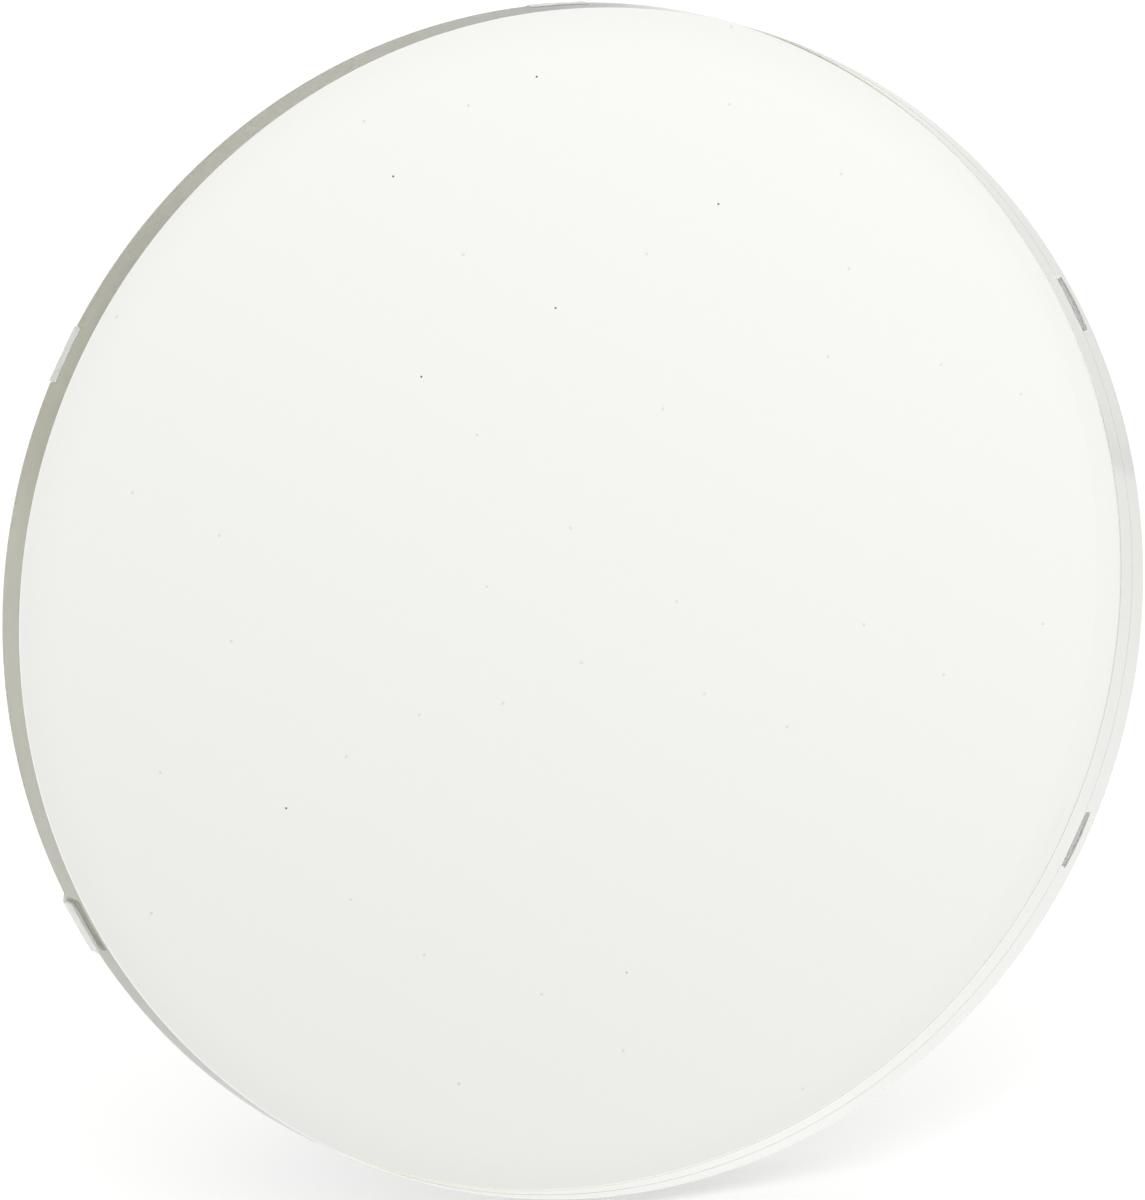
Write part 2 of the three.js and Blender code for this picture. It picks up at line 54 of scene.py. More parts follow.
# The studio's light. The world brightens from WORLD_FACING_LOW to straight along WORLD_BRIGHT_WAY.
WORLD_COLOUR = (1.0, 1.0, 0.992, 1)
WORLD_FACING_LOW = -0.2
WORLD_BRIGHT_WAY = (0.15, -0.1, 0.98)
WORLD_LOW = 0.84
WORLD_HIGH = 1.1
COUNTER_HALF_WIDTH = 6.0
COUNTER_COLOUR = (0.55, 0.55, 0.548, 1)
COUNTER_GLOW_COLOUR = (1.0, 1.0, 0.995, 1)
COUNTER_GLOW = 0.47
COUNTER_FAR_GLOW = 0.2
COUNTER_GLOW_MIDDLE = (0.1, 0.35, 0)
COUNTER_GLOW_FALL = (0.7, 1.6)
CARD_COLOUR = (0.995, 1.0, 0.982, 1)
CARD_DISTANCE = 0.7
CARD_SIZE = 0.6
CARD_LOW = 0.832
CARD_HIGH = 1.118
CARD_BRIGHT_ANGLE = math.radians(55)
LAMP_SIZE = 2.4
LAMP_TARGET = Vector((0, 0, 0.12))
SOFT_LAMPS = [
    # name, place, power in watts
    ("soft_key", (-0.9, -1.2, 2.4), 12),
    ("soft_fill", (1.2, 1.4, 2.2), 8),
]

# The mirror's finish. The silver's colour carries painted shade along the rim: it starts to darken
# RIM_SHADE_START inside the edge and is darkest from RIM_SHADE_FULL inside it outwards.
GLASS_IOR = 1.5
GLASS_TINT = (0.72, 0.69, 0.2, 1)
GLASS_DENSITY = 1.0
EDGE_ROUGHNESS = 0.09
POCKET_ROUGHNESS = 0.03
SLAB_FINISH = "slab_finish"
SILVER_COLOUR = (0.93, 0.93, 0.925)
# Painted shade: the silver's colour is darkened to these shares of itself towards the rim.
RIM_SHADE_SHARE = 0.965
RIM_SHADE_MIDDLE_SHARE = 0.992
RIM_SHADE_START = 13 * MM
RIM_SHADE_FULL = 2 * MM
PINHOLE_COLOUR = (0.1, 0.1, 0.095)
FAINT_SPECK_SHARE = 0.88


# ------------------------------------------------------------------ the mirror's own frame

def mirror_frame():
    """The matrix from the mirror's own frame: the origin is the middle of the slab's front face,
    +x runs to the right, +y into the slab and +z up the face. Also returns the slab's radius."""
    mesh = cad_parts["mirror_glass"].data
    front = max((p for p in mesh.polygons if p.normal.y < 0), key=lambda p: p.area)
    depth_axis = -front.normal.normalized()
    right = Vector((1, 0, 0))
    up = right.cross(depth_axis).normalized()
    level = min(depth_axis.dot(v.co) for v in mesh.vertices)
    across = [right.dot(v.co) for v in mesh.vertices]
    along = [up.dot(v.co) for v in mesh.vertices]
    middle_x = (min(across) + max(across)) / 2
    radius = (max(across) - min(across)) / 2
    middle_z = max(along) - radius
    origin = right * middle_x + depth_axis * level + up * middle_z
    matrix = Matrix((right, depth_axis, up)).transposed().to_4x4()
    matrix.translation = origin
    return matrix, radius


MIRROR, DISC_RADIUS = mirror_frame()
TO_MIRROR = MIRROR.inverted()


def local_points(node):
    """A CAD node's points in the mirror's own frame."""
    return [TO_MIRROR @ v.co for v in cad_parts[node].data.vertices]


def local_range(node, axis):
    """The least and the greatest of a CAD node's coordinates along one of the mirror's own axes."""
    values = [p[axis] for p in local_points(node)]
    return min(values), max(values)


# ------------------------------------------------------------------ camera, light and stage

def camera_axes():
    """The camera's own right, backward and upward directions."""
    azimuth, elevation = CAMERA_AZIMUTH, CAMERA_ELEVATION
    right = Vector((math.cos(azimuth), math.sin(azimuth), 0))
    back = Vector((
        math.sin(azimuth) * math.cos(elevation),
        -math.cos(azimuth) * math.cos(elevation),
        math.sin(elevation),
    ))
    return right, back, back.cross(right)


def make_camera():
    """A long lens from the front left, looking a little down."""
    right, back, up = camera_axes()
    data = bpy.data.cameras.new("camera")
    data.sensor_width = SENSOR
    data.lens = SENSOR * CAMERA_DISTANCE / IMAGE_SPAN
    data.clip_start = CLIP_NEAR
    data.clip_end = CLIP_FAR
    camera = bpy.data.objects.new("camera", data)
    bpy.context.scene.collection.objects.link(camera)
    aim = MIRROR.translation + right * AIM_RIGHT + up * AIM_UP
    camera.location = aim + back * CAMERA_DISTANCE
    camera.rotation_mode = "QUATERNION"
    camera.rotation_quaternion = (-back).to_track_quat("-Z", "Y")
    bpy.context.scene.camera = camera


def make_world():
    """An even white studio, a little brighter overhead than near the counter."""
    world = bpy.data.worlds.new("studio")
    bpy.context.scene.world = world
    world.use_nodes = True
    tree = world.node_tree
    tree.nodes.clear()
    output = tree.nodes.new("ShaderNodeOutputWorld")
    background = tree.nodes.new("ShaderNodeBackground")
    place = tree.nodes.new("ShaderNodeTexCoord")
    toward = tree.nodes.new("ShaderNodeVectorMath")
    toward.operation = "DOT_PRODUCT"
    toward.inputs[1].default_value = WORLD_BRIGHT_WAY
    tree.links.new(place.outputs["Generated"], toward.inputs[0])
    strength = spread(tree, toward.outputs["Value"], WORLD_FACING_LOW, 1, WORLD_LOW, WORLD_HIGH)
    tree.links.new(strength, background.inputs["Strength"])
    background.inputs["Color"].default_value = WORLD_COLOUR
    tree.links.new(background.outputs["Background"], output.inputs["Surface"])


def add_sheet(name, corners, material):
    """A flat four-cornered sheet for the stage."""
    mesh = bpy.data.meshes.new(name)
    mesh.from_pydata(corners, [], [(0, 1, 2, 3)])
    mesh.materials.append(material)
    sheet = bpy.data.objects.new(name, mesh)
    bpy.context.scene.collection.objects.link(sheet)
    return sheet


def card_material(bright_way, centre, half):
    """Light that grows along `bright_way`, over `half` either side of `centre`."""
    material = bpy.data.materials.new("front_card")
    material.use_nodes = True
    tree = material.node_tree
    tree.nodes.clear()
    output = tree.nodes.new("ShaderNodeOutputMaterial")
    emission = tree.nodes.new("ShaderNodeEmission")
    place = tree.nodes.new("ShaderNodeTexCoord")
    along = tree.nodes.new("ShaderNodeVectorMath")
    along.operation = "DOT_PRODUCT"
    along.inputs[1].default_value = bright_way
    tree.links.new(place.outputs["Object"], along.inputs[0])
    strength = spread(tree, along.outputs["Value"], centre - half, centre + half, CARD_LOW, CARD_HIGH)
    tree.links.new(strength, emission.inputs["Strength"])
    emission.inputs["Color"].default_value = CARD_COLOUR
    tree.links.new(emission.outputs["Emission"], output.inputs["Surface"])
    return material


def make_card():
    """A soft white card that the tilted face reflects: brighter at its upper end than its lower."""
    view = -camera_axes()[1]
    normal = MIRROR.to_3x3() @ Vector((0, -1, 0))
    reflected = (view - 2 * view.dot(normal) * normal).normalized()
    middle = MIRROR.translation + reflected * CARD_DISTANCE
    right = reflected.cross(Vector((0, 0, 1))).normalized()
    up = right.cross(reflected)
    half = CARD_SIZE / 2
    signs = ((-1, -1), (1, -1), (1, 1), (-1, 1))
    corners = [middle + right * (half * x) + up * (half * y) for x, y in signs]
    bright_way = -right * math.cos(CARD_BRIGHT_ANGLE) + up * math.sin(CARD_BRIGHT_ANGLE)
    card = add_sheet("front_card", corners, card_material(bright_way, bright_way.dot(middle), half))
    card.visible_camera = False
    card.visible_diffuse = False
    card.visible_shadow = False


def make_floor():
    """A pale counter that glows softly, as a light table does, so that shadows on it stay faint."""
    material, tree, shader = new_material("pale_counter")
    shader.inputs["Base Color"].default_value = COUNTER_COLOUR
    shader.inputs["Roughness"].default_value = 0.8
    shader.inputs["Specular IOR Level"].default_value = 0.1
    shader.inputs["Emission Color"].default_value = COUNTER_GLOW_COLOUR
    place = tree.nodes.new("ShaderNodeTexCoord")
    away = tree.nodes.new("ShaderNodeVectorMath")
    away.operation = "DISTANCE"
    away.inputs[1].default_value = COUNTER_GLOW_MIDDLE
    tree.links.new(place.outputs["Object"], away.inputs[0])
    glow = spread(tree, away.outputs["Value"], *COUNTER_GLOW_FALL, COUNTER_GLOW, COUNTER_FAR_GLOW)
    tree.links.new(glow, shader.inputs["Emission Strength"])
    half = COUNTER_HALF_WIDTH
    corners = [(-half, -half, 0), (half, -half, 0), (half, half, 0), (-half, half, 0)]
    floor = add_sheet("counter", corners, material)


def make_lights():
    """Two large soft lamps overhead, which light the pieces but are not seen in them."""
    for name, place, power in SOFT_LAMPS:
        data = bpy.data.lights.new(name, "AREA")
        data.energy = power
        data.size = LAMP_SIZE
        light = bpy.data.objects.new(name, data)
        bpy.context.scene.collection.objects.link(light)
        light.location = place
        light.rotation_mode = "QUATERNION"
        light.rotation_quaternion = (LAMP_TARGET - Vector(place)).to_track_quat("-Z", "Y")
        light.visible_camera = False
        light.visible_glossy = False
        light.visible_transmission = False


# ------------------------------------------------------------------ materials

def new_material(name):
    """A material with its node tree and its main shader."""
    material = bpy.data.materials.new(name)
    material.use_nodes = True
    tree = material.node_tree
    return material, tree, tree.nodes["Principled BSDF"]


def coordinates(tree, scale=(1, 1, 1), tilt=0.0):
    """The piece's own coordinates, turned about x so that its length runs along z, then scaled."""
    place = tree.nodes.new("ShaderNodeTexCoord")
    turn = tree.nodes.new("ShaderNodeMapping")
    turn.inputs["Rotation"].default_value = (tilt, 0, 0)
    stretch = tree.nodes.new("ShaderNodeMapping")
    stretch.inputs["Scale"].default_value = scale
    tree.links.new(place.outputs["Object"], turn.inputs["Vector"])
    tree.links.new(turn.outputs["Vector"], stretch.inputs["Vector"])
    return stretch.outputs["Vector"]


def face_coordinates(tree):
    """Coordinates in the plane of the mirror's face: x to the right and y up."""
    place = tree.nodes.new("ShaderNodeTexCoord")
    both = tree.nodes.new("ShaderNodeCombineXYZ")
    both.inputs["Z"].default_value = 0
    for name, axis in (("X", (1, 0, 0)), ("Y", (0, 0, 1))):
        along = tree.nodes.new("ShaderNodeVectorMath")
        along.operation = "DOT_PRODUCT"
        along.inputs[1].default_value = MIRROR.to_3x3() @ Vector(axis)
        tree.links.new(place.outputs["Object"], along.inputs[0])
        tree.links.new(along.outputs["Value"], both.inputs[name])
    return both.outputs["Vector"]


def noise(tree, vector, scale, detail=3.0, roughness=0.5):
    """Soft random values from 0 to 1."""
    node = tree.nodes.new("ShaderNodeTexNoise")
    node.inputs["Scale"].default_value = scale
    node.inputs["Detail"].default_value = detail
    node.inputs["Roughness"].default_value = roughness
    tree.links.new(vector, node.inputs["Vector"])
    return node.outputs["Fac"]


def spread(tree, value, low, high, to_low, to_high):
    """The value's range from `low` to `high`, moved to run from `to_low` to `to_high`."""
    node = tree.nodes.new("ShaderNodeMapRange")
    node.inputs["From Min"].default_value = low
    node.inputs["From Max"].default_value = high
    node.inputs["To Min"].default_value = to_low
    node.inputs["To Max"].default_value = to_high
    tree.links.new(value, node.inputs["Value"])
    return node.outputs["Result"]


def colour_ramp(tree, value, stops):
    """Colours along a value, from (position, colour) stops."""
    node = tree.nodes.new("ShaderNodeValToRGB")
    ramp = node.color_ramp
    while len(ramp.elements) < len(stops):
        ramp.elements.new(0.5)
    for element, (position, colour) in zip(ramp.elements, stops):
        element.position = position
        element.color = (*colour, 1)
    tree.links.new(value, node.inputs["Fac"])
    return node.outputs["Color"]


def bump(tree, shader, height, strength, distance):
    """Fine relief on the shader's surface."""
    node = tree.nodes.new("ShaderNodeBump")
    node.inputs["Strength"].default_value = strength
    node.inputs["Distance"].default_value = distance
    tree.links.new(height, node.inputs["Height"])
    tree.links.new(node.outputs["Normal"], shader.inputs["Normal"])


def mirror_radius(tree):
    """Distance from the disc's middle line, in metres."""
    place = tree.nodes.new("ShaderNodeTexCoord")
    offset = tree.nodes.new("ShaderNodeVectorMath")
    offset.operation = "SUBTRACT"
    offset.inputs[1].default_value = MIRROR.translation
    tree.links.new(place.outputs["Object"], offset.inputs[0])
    flat = tree.nodes.new("ShaderNodeVectorMath")
    flat.operation = "PROJECT"
    flat.inputs[1].default_value = MIRROR.to_3x3() @ Vector((0, 1, 0))
    tree.links.new(offset.outputs["Vector"], flat.inputs[0])
    across = tree.nodes.new("ShaderNodeVectorMath")
    across.operation = "DISTANCE"
    tree.links.new(offset.outputs["Vector"], across.inputs[0])
    tree.links.new(flat.outputs["Vector"], across.inputs[1])
    return across.outputs["Value"]


def clear_slab_material():
    """Clear glass whose roughness is stored on its faces."""
    material, tree, shader = new_material("clear_slab")
    shader.inputs["Base Color"].default_value = (1, 1, 1, 1)
    shader.inputs["Transmission Weight"].default_value = 1
    shader.inputs["IOR"].default_value = GLASS_IOR
    finish = tree.nodes.new("ShaderNodeAttribute")
    finish.attribute_name = SLAB_FINISH
    tree.links.new(finish.outputs["Fac"], shader.inputs["Roughness"])
    absorption = tree.nodes.new("ShaderNodeVolumeAbsorption")
    absorption.inputs["Color"].default_value = GLASS_TINT
    absorption.inputs["Density"].default_value = GLASS_DENSITY
    tree.links.new(absorption.outputs["Volume"], tree.nodes["Material Output"].inputs["Volume"])
    return material


def specks(tree, vector, cell, size, share):
    """1 in small scattered dots about `size` across, in a `share` of cells `cell` wide, and 0 elsewhere."""
    dots = tree.nodes.new("ShaderNodeTexVoronoi")
    dots.voronoi_dimensions = "2D"
    dots.inputs["Scale"].default_value = 1 / cell
    tree.links.new(vector, dots.inputs["Vector"])
    near = spread(tree, dots.outputs["Distance"], 0.35 * size / cell, 0.5 * size / cell, 1, 0)
    pick = tree.nodes.new("ShaderNodeSeparateColor")
    tree.links.new(dots.outputs["Color"], pick.inputs["Color"])
    chosen = spread(tree, pick.outputs["Red"], share, share + 0.02, 1, 0)
    both = tree.nodes.new("ShaderNodeMath")
    both.operation = "MULTIPLY"
    tree.links.new(near, both.inputs[0])
    tree.links.new(chosen, both.inputs[1])
    return both.outputs["Value"]


def mixed(tree, factor, first, second):
    """Colour `first` where the factor is 0 and `second` where it is 1; each a socket or a plain colour."""
    node = tree.nodes.new("ShaderNodeMix")
    node.data_type = "RGBA"
    tree.links.new(factor, node.inputs["Factor"])
    for name, colour in (("A", first), ("B", second)):
        socket = [i for i in node.inputs if i.name == name and i.type == "RGBA"][0]
        if isinstance(colour, tuple):
            socket.default_value = (*colour, 1)
        else:
            tree.links.new(colour, socket)
    return [o for o in node.outputs if o.type == "RGBA"][0]


def silver_material():
    """Silvering with painted shade along the rim, where its colour darkens, and a few dark pinholes."""
    material, tree, shader = new_material("silver")
    rim = mirror_radius(tree)
    # Painted shade: the silver's colour darkens towards the rim.
    rim_shade = spread(tree, rim, DISC_RADIUS - RIM_SHADE_START, DISC_RADIUS - RIM_SHADE_FULL, 0, 1)
    colour = colour_ramp(tree, rim_shade, [
        (0.0, SILVER_COLOUR),
        (0.35, tuple(RIM_SHADE_MIDDLE_SHARE * c for c in SILVER_COLOUR)),
        (1.0, tuple(RIM_SHADE_SHARE * c for c in SILVER_COLOUR)),
    ])
    plane = face_coordinates(tree)
    faint = tuple(FAINT_SPECK_SHARE * c for c in SILVER_COLOUR)
    colour = mixed(tree, specks(tree, plane, 41 * MM, 0.62 * MM, 0.14), colour, PINHOLE_COLOUR)
    colour = mixed(tree, specks(tree, plane, 24 * MM, 1.0 * MM, 0.35), colour, faint)
    tree.links.new(colour, shader.inputs["Base Color"])
    shader.inputs["Metallic"].default_value = 1
    shader.inputs["Roughness"].default_value = 0.0
    return material


def paint_material():
    """Matt warm-grey paint over the silver, a little cloudy."""
    material, tree, shader = new_material("backing_paint")
    cloud = noise(tree, coordinates(tree), 60, 4)
    colour = colour_ramp(tree, cloud, [(0.3, (0.42, 0.41, 0.39)), (0.7, (0.5, 0.49, 0.47))])
    tree.links.new(colour, shader.inputs["Base Color"])
    shader.inputs["Roughness"].default_value = 0.6
    return material


def clear_plastic_material():
    """Slightly milky moulded plastic."""
    material, tree, shader = new_material("clear_plastic")
    shader.inputs["Base Color"].default_value = (0.96, 0.965, 0.95, 1)
    shader.inputs["Transmission Weight"].default_value = 0.6
    shader.inputs["IOR"].default_value = 1.5
    vector = coordinates(tree)
    rough = spread(tree, noise(tree, vector, 400, 4), 0.3, 0.7, 0.03, 0.12)
    tree.links.new(rough, shader.inputs["Roughness"])
    bump(tree, shader, noise(tree, vector, 900, 2), 0.08, 0.0002)
    return material


def brushed_material(name, low, high, stretch, rough, tilt=0.0):
    """Metal with fine brushing: the grain is long along an axis whose stretch is small."""
    material, tree, shader = new_material(name)
    grain = noise(tree, coordinates(tree, stretch, tilt), 1500, 4, 0.65)
    cloud = noise(tree, coordinates(tree), 25, 3)
    mix = tree.nodes.new("ShaderNodeMix")
    mix.data_type = "FLOAT"
    mix.inputs["Factor"].default_value = 0.3
    tree.links.new(grain, mix.inputs["A"])
    tree.links.new(cloud, mix.inputs["B"])
    value = mix.outputs["Result"]
    tree.links.new(colour_ramp(tree, value, [(0.3, low), (0.7, high)]), shader.inputs["Base Color"])
    shader.inputs["Metallic"].default_value = 1
    tree.links.new(spread(tree, value, 0.3, 0.7, rough[1], rough[0]), shader.inputs["Roughness"])
    bump(tree, shader, grain, 0.15, 0.0001)
    return material


def moulded_material(name, low, high, rough, grain_scale, grain_depth, specular=0.5):
    """Moulded plastic, foam or rubber with a fine surface grain."""
    material, tree, shader = new_material(name)
    vector = coordinates(tree)
    cloud = noise(tree, vector, 70, 4)
    tree.links.new(colour_ramp(tree, cloud, [(0.3, low), (0.7, high)]), shader.inputs["Base Color"])
    tree.links.new(spread(tree, cloud, 0.3, 0.7, rough[0], rough[1]), shader.inputs["Roughness"])
    shader.inputs["Specular IOR Level"].default_value = specular
    bump(tree, shader, noise(tree, vector, grain_scale, 3), 0.35, grain_depth)
    return material


# ------------------------------------------------------------------ mesh helpers

def add_piece(name, mesh, body, nodes, materials):
    """A visible piece that rides a body and stands in for CAD nodes."""
    piece = bpy.data.objects.new(name, mesh)
    bpy.context.scene.collection.objects.link(piece)
    for material in materials:
        mesh.materials.append(material)
    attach(piece, body)
    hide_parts(*nodes)
    return piece


def finish_mesh(bm, name, matrix=None, sharp=30):
    """A smooth-shaded mesh whose edges stay sharp above `sharp` degrees."""
    bmesh.ops.recalc_face_normals(bm, faces=bm.faces)
    mesh = bpy.data.meshes.new(name)
    bm.to_mesh(mesh)
    bm.free()
    if matrix is not None:
        mesh.transform(matrix)
    mesh.shade_smooth()
    mesh.set_sharp_from_angle(angle=math.radians(sharp))
    return mesh


def turned(profile, steps):
    """A bmesh turned about y, from (radius, y) points that start and end on the axis."""
    bm = bmesh.new()
    rings = []
    for radius, y in profile:
        if radius == 0:
            rings.append([bm.verts.new((0, y, 0))])
            continue
        ring = []
        for step in range(steps):
            angle = 2 * math.pi * step / steps
            ring.append(bm.verts.new((radius * math.sin(angle), y, radius * math.cos(angle))))
        rings.append(ring)
    for first, second in zip(rings, rings[1:]):
        for step in range(steps):
            after = (step + 1) % steps
            corners = [first[step % len(first)], first[after % len(first)]]
            corners += [second[after % len(second)], second[step % len(second)]]
            bm.faces.new(list(dict.fromkeys(corners)))
    return bm


def arc(centre_radius, centre_y, radius, start, end, steps):
    """Profile points on an arc; angles in degrees, 0 outwards and 90 towards +y."""
    points = []
    for step in range(steps + 1):
        angle = math.radians(start + (end - start) * step / steps)
        points.append((centre_radius + radius * math.cos(angle), centre_y + radius * math.sin(angle)))
    return points


def refined_copy(name, node, bevel, material, body, segments=3, sharp=30):
    """A finer piece made from a CAD node: flat facets joined, edges rounded."""
    bm = bmesh.new()
    bm.from_mesh(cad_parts[node].data)
    bmesh.ops.remove_doubles(bm, verts=bm.verts, dist=1e-6)
    bmesh.ops.dissolve_limit(bm, angle_limit=math.radians(1), verts=bm.verts, edges=bm.edges)
    mesh = finish_mesh(bm, name, sharp=sharp)
    piece = add_piece(name, mesh, body, [node], [material])
    modifier = piece.modifiers.new("rounded_edges", "BEVEL")
    modifier.width = bevel
    modifier.segments = segments
    modifier.limit_method = "ANGLE"
    modifier.angle_limit = math.radians(sharp)
    modifier.harden_normals = True


def cut_away(piece, cutters):
    """Subtracts the cutter meshes from the piece and keeps the result as its mesh."""
    helpers = []
    for mesh in cutters:
        helper = bpy.data.objects.new("cutter", mesh)
        bpy.context.scene.collection.objects.link(helper)
        helpers.append(helper)
        modifier = piece.modifiers.new("cut", "BOOLEAN")
        modifier.object = helper
        modifier.operation = "DIFFERENCE"
        modifier.solver = "EXACT"
    bpy.context.view_layer.update()
    graph = bpy.context.evaluated_depsgraph_get()
    result = bpy.data.meshes.new_from_object(piece.evaluated_get(graph), depsgraph=graph)
    piece.modifiers.clear()
    piece.data = result
    for helper in helpers:
        bpy.data.objects.remove(helper)


# ------------------------------------------------------------------ the mirror

SLAB_STEPS = 384
FRONT_ARRIS = 0.22 * MM
BACK_ARRIS = 0.04 * MM
# Rings this far inside an arris keep the faces' shading flat.
ARRIS_SUPPORT = 0.3 * MM
BACKING_ROUNDING = 0.5 * MM
CLIP_ROUNDING = 0.15 * MM
SLAB_OVERLAP = 0.02 * MM
POCKET_CLEARANCE = 0.1 * MM
CUT_OVERRUN = 5 * MM
# A slab face this near the front or the back is part of it, and one this near the rim is wall.
FLAT_WITHIN = 0.02 * MM
WALL_WITHIN = 0.08 * MM
CLIPS = [f"edge_clip_{number}" for number in range(1, 7)]


def clip_seat(node):
    """Where a clip sits: its angle round the rim, its width, its front and back, and its lip's inside."""
    points = local_points(node)
    angle = math.atan2(sum(p.x for p in points), sum(p.z for p in points))
    turn = Matrix.Rotation(-angle, 4, "Y")
    upright = [turn @ p for p in points]
    side = [p.x for p in upright]
    angle += math.atan2((min(side) + max(side)) / 2, DISC_RADIUS)
    front = min(p.y for p in upright)
    lip = [p.z for p in upright if p.y < front + 0.1 * MM]
    return {
        "angle": angle,
        "width": max(side) - min(side),
        "front": front,
        "back": max(p.y for p in upright),
        "inner": min(lip),
    }


SEATS = {node: clip_seat(node) for node in CLIPS}


def box_mesh(low, high, matrix):
    """A box between two corners."""
    bm = bmesh.new()
    bmesh.ops.create_cube(bm, size=1)
    for vertex in bm.verts:
        shares = [c + 0.5 for c in vertex.co]
        vertex.co = Vector([a + share * (b - a) for a, b, share in zip(low, high, shares)])
    return finish_mesh(bm, "cutter", matrix)


def pocket_cutter(seat):
    """A box that clears a clip's lip and runs out past the rim and the slab's back."""
    half = seat["width"] / 2 + POCKET_CLEARANCE
    low = (-half, seat["front"] - POCKET_CLEARANCE, seat["inner"] - POCKET_CLEARANCE)
    high = (half, seat["back"] + CUT_OVERRUN, DISC_RADIUS + CUT_OVERRUN)
    return box_mesh(low, high, MIRROR @ Matrix.Rotation(seat["angle"], 4, "Y"))


def mark_slab_finish(mesh, back):
    """Stores each face's roughness: none on the front and back, some in the pockets, most on the wall."""
    finish = mesh.attributes.new(SLAB_FINISH, "FLOAT", "FACE")
    for polygon in mesh.polygons:
        middle = TO_MIRROR @ polygon.center
        reach = math.hypot(middle.x, middle.z)
        polished = middle.y < FLAT_WITHIN or middle.y > back - FLAT_WITHIN
        ground = middle.y > FRONT_ARRIS and reach < DISC_RADIUS - WALL_WITHIN
        if polished:
            finish.data[polygon.index].value = 0.0
        else:
            finish.data[polygon.index].value = POCKET_ROUGHNESS if ground else EDGE_ROUGHNESS


def make_slab():
    """The clear slab, from its front face to just inside the silver, with pockets where clips reach in."""
    back = local_range("mirror_silvering", 1)[0] + SLAB_OVERLAP
    profile = [(0, 0), (DISC_RADIUS - FRONT_ARRIS - ARRIS_SUPPORT, 0)]
    profile += [(DISC_RADIUS - FRONT_ARRIS, 0), (DISC_RADIUS, FRONT_ARRIS)]
    profile += [(DISC_RADIUS, back - BACK_ARRIS), (DISC_RADIUS - BACK_ARRIS, back)]
    profile += [(DISC_RADIUS - BACK_ARRIS - ARRIS_SUPPORT, back), (0, back)]
    mesh = finish_mesh(turned(profile, SLAB_STEPS), "clear_slab", MIRROR, sharp=20)
    piece = add_piece("clear_slab", mesh, "mirror", ["mirror_glass"], [clear_slab_material()])
    cut_away(piece, [pocket_cutter(seat) for seat in SEATS.values()])
    piece.data.set_sharp_from_angle(angle=math.radians(20))
    mark_slab_finish(piece.data, back)


def make_silvering():
    """The coat on the slab's back: silver where it faces forward and paint elsewhere."""
    front, back = local_range("mirror_silvering", 1)
    radius = DISC_RADIUS - BACK_ARRIS
    profile = [(0, front), (radius, front), (radius, back), (0, back)]
    mesh = finish_mesh(turned(profile, SLAB_STEPS), "silvering", MIRROR, sharp=20)
    materials = [silver_material(), paint_material()]
    piece = add_piece("silvering", mesh, "mirror", ["mirror_silvering"], materials)
    cut_away(piece, [pocket_cutter(seat) for seat in SEATS.values()])
    piece.data.set_sharp_from_angle(angle=math.radians(20))
    depth_axis = MIRROR.to_3x3() @ Vector((0, 1, 0))
    for polygon in piece.data.polygons:
        polygon.material_index = 0 if polygon.normal.dot(depth_axis) < -0.9 else 1


def make_foam():
    """The thin dark foam sheet behind the coat."""
    front, back = local_range("bonding_foam", 1)
    radius = local_range("bonding_foam", 0)[1]
    profile = [(0, front), (radius, front), (radius, back), (0, back)]
    dark, light = (0.03, 0.03, 0.032), (0.06, 0.06, 0.062)
    foam = moulded_material("foam", dark, light, (0.85, 0.98), 2500, 0.0004, 0.2)
    mesh = finish_mesh(turned(profile, SLAB_STEPS), "foam_sheet", MIRROR)
    add_piece("foam_sheet", mesh, "mirror", ["bonding_foam"], [foam])


def make_backing():
    """The backing disc, with rounded rims."""
    front, back = local_range("backing_plate", 1)
    radius = local_range("backing_plate", 0)[1]
    rounding = BACKING_ROUNDING
    profile = [(0, front)]
    profile += arc(radius - rounding, front + rounding, rounding, -90, 0, 4)
    profile += arc(radius - rounding, back - rounding, rounding, 0, 90, 4)
    profile += [(radius - 2 * rounding, back), (0, back)]
    dark, light = (0.30, 0.31, 0.32), (0.42, 0.43, 0.44)
    plate = brushed_material("anodised_plate", dark, light, (0.02, 1, 1), (0.3, 0.45))
    mesh = finish_mesh(turned(profile, SLAB_STEPS), "backing_disc", MIRROR)
    add_piece("backing_disc", mesh, "mirror", ["backing_plate"], [plate])


def make_clips():
    """The six rim clips."""
    plastic = clear_plastic_material()
    for node in CLIPS:
        name = node.replace("edge_", "rim_")
        refined_copy(name, node, CLIP_ROUNDING, plastic, "mirror")


def tilt_of(node):
    """The angle that turns a plate-like node about x until its length stands upright."""
    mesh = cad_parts[node].data
    normal = max(mesh.polygons, key=lambda p: p.area if abs(p.normal.y) > 0.8 else 0).normal
    if normal.y < 0:
        normal = -normal
    return math.atan2(-normal.z, normal.y)


PLATE_STEEL = ((0.5, 0.5, 0.495), (0.68, 0.68, 0.67))
SMALL_ROUNDING = 0.12 * MM
SCREW_STEPS = 48
HEAD_FILLET = 0.12 * MM
TIP_CHAMFER = 0.25 * MM
DOME_STEPS = 6
DOME_HEIGHT_SHARE = 0.55
DOME_WIDTH_SHARE = 0.45
SOCKET_RADIUS_SHARE = 0.37
# The socket's cutter is centred on the head's top, so half of it goes into the head.
SOCKET_CUT_SHARE = 1.2


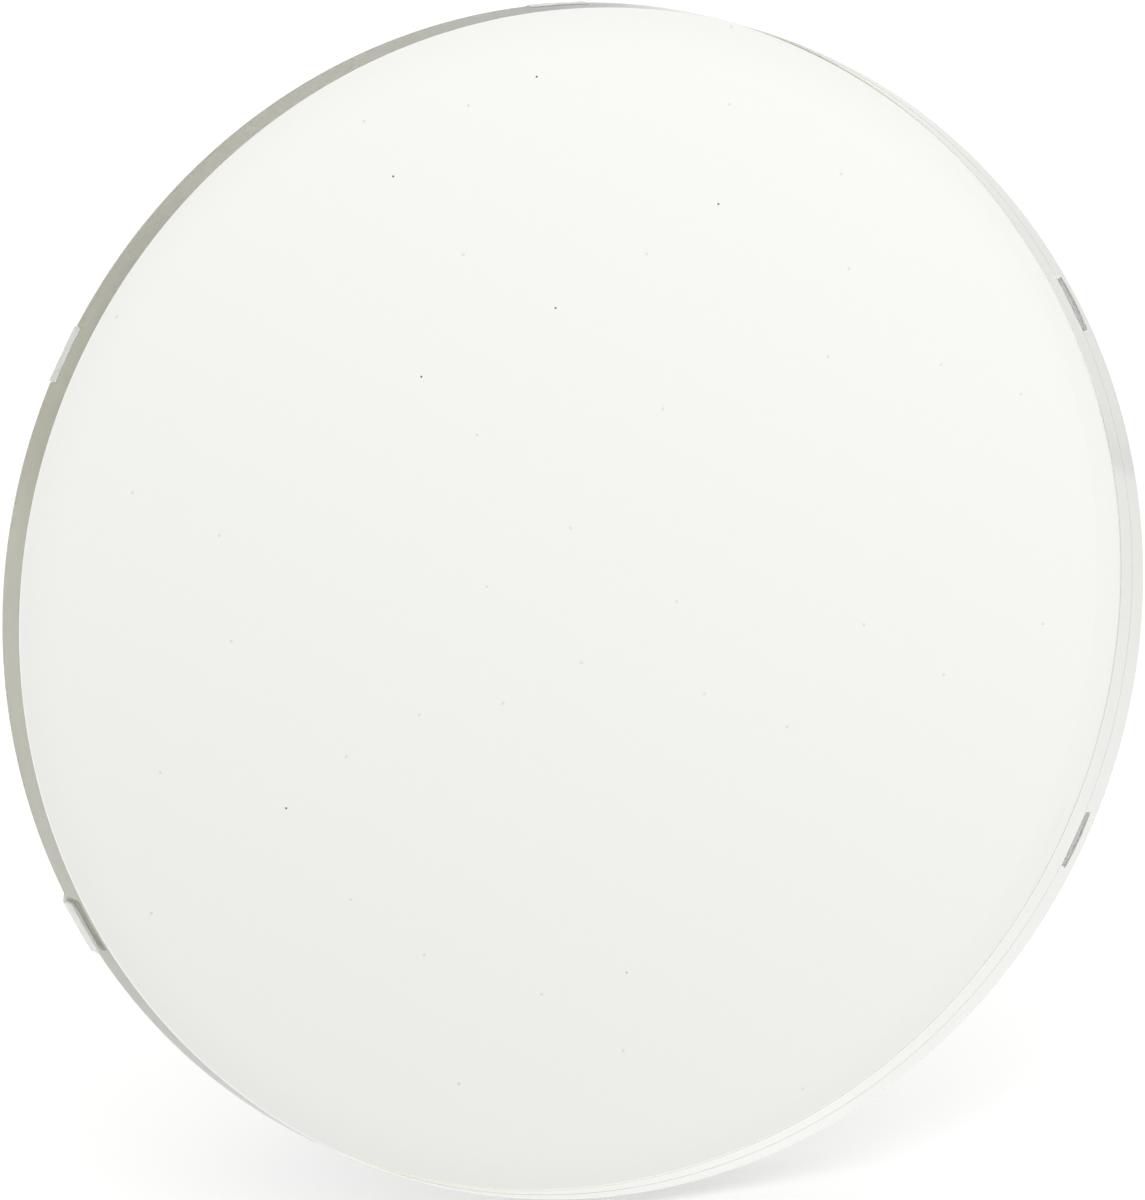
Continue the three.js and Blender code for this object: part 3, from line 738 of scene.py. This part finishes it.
def make_screw(name, node, material):
    """A turned screw with a domed head, a chamfered tip and a hexagon socket."""
    points = local_points(node)
    middle_x = (min(p.x for p in points) + max(p.x for p in points)) / 2
    middle_z = (min(p.z for p in points) + max(p.z for p in points)) / 2
    reach = [math.hypot(p.x - middle_x, p.z - middle_z) for p in points]
    head = max(reach)
    tip = min(p.y for p in points)
    top = max(p.y for p in points)
    under = min(p.y for p, r in zip(points, reach) if r > 0.99 * head)
    shank = max(r for p, r in zip(points, reach) if p.y < under - 0.01 * MM)
    height = top - under
    fillet = HEAD_FILLET
    profile = [(0, tip), (shank - TIP_CHAMFER, tip), (shank, tip + TIP_CHAMFER), (shank, under)]
    profile += arc(head - fillet, under + fillet, fillet, -90, 0, 3)
    dome = DOME_HEIGHT_SHARE * height
    crown = 1 - DOME_WIDTH_SHARE
    for step in range(DOME_STEPS + 1):
        angle = math.radians(90 * step / DOME_STEPS)
        radius = head * (crown + DOME_WIDTH_SHARE * math.cos(angle))
        profile.append((radius, top - dome + dome * math.sin(angle)))
    profile.append((0, top))
    place = MIRROR @ Matrix.Translation((middle_x, 0, middle_z))
    mesh = finish_mesh(turned(profile, SCREW_STEPS), name, place)
    piece = add_piece(name, mesh, "mirror", [node], [material])
    socket = bmesh.new()
    radius = SOCKET_RADIUS_SHARE * head
    depth = SOCKET_CUT_SHARE * height
    bmesh.ops.create_cone(socket, cap_ends=True, segments=6, radius1=radius, radius2=radius, depth=depth)
    lie = Matrix.Translation((0, top, 0)) @ Matrix.Rotation(math.pi / 2, 4, "X")
    cut_away(piece, [finish_mesh(socket, "cutter", place @ lie)])
    piece.data.set_sharp_from_angle(angle=math.radians(30))


def make_screws():
    """The clips' screws and the bracket's."""
    steel = brushed_material("screw_steel", (0.42, 0.42, 0.43), (0.6, 0.6, 0.61), (1, 1, 1), (0.18, 0.32))
    for number in range(1, 7):
        make_screw(f"rim_screw_{number}", f"clip_screw_{number}", steel)
    for number in range(1, 5):
        make_screw(f"plate_screw_{number}", f"bracket_screw_{number}", steel)


def make_hinge():
    """The bracket, with its pin, ring and washers."""
    lean = tilt_of("backing_plate")
    bracket_steel = brushed_material("bracket_steel", *PLATE_STEEL, (0.03, 1, 1), (0.24, 0.4), lean)
    dark, light = (0.4, 0.4, 0.41), (0.55, 0.55, 0.56)
    turned_steel = brushed_material("pin_steel", dark, light, (1, 0.1, 0.1), (0.2, 0.35))
    dark, light = (0.72, 0.7, 0.64), (0.8, 0.78, 0.72)
    nylon = moulded_material("nylon", dark, light, (0.4, 0.55), 900, 0.0002)
    refined_copy("bracket", "hinge_bracket", 0.35 * MM, bracket_steel, "mirror")
    refined_copy("pivot_pin", "hinge_pin", SMALL_ROUNDING, turned_steel, "mirror", 2)
    refined_copy("snap_ring", "pin_retaining_ring", SMALL_ROUNDING, turned_steel, "mirror", 2)
    for side in ("left", "right"):
        refined_copy(f"washer_{side}", f"hinge_washer_{side}", SMALL_ROUNDING, nylon, "mirror", 2)


def make_strut():
    """The strut and its rubber foot, which ride the strut's body."""
    splay = tilt_of("strut")
    strut_steel = brushed_material("strut_steel", *PLATE_STEEL, (1, 1, 0.02), (0.24, 0.4), splay)
    dark, light = (0.014, 0.014, 0.015), (0.03, 0.03, 0.031)
    rubber = moulded_material("rubber", dark, light, (0.6, 0.85), 1200, 0.0004, 0.3)
    refined_copy("easel_strut", "strut", 0.4 * MM, strut_steel, "strut")
    refined_copy("rubber_foot", "strut_foot", 0.5 * MM, rubber, "strut")


# ------------------------------------------------------------------ the scene

make_camera()
make_world()
make_card()
make_floor()
make_lights()
make_slab()
make_silvering()
make_foam()
make_backing()
make_clips()
make_screws()
make_hinge()
make_strut()

scene = bpy.context.scene
scene.view_settings.view_transform = "Standard"
scene.cycles.max_bounces = 48
scene.cycles.glossy_bounces = 32
scene.cycles.transmission_bounces = 48
scene.cycles.use_denoising = True
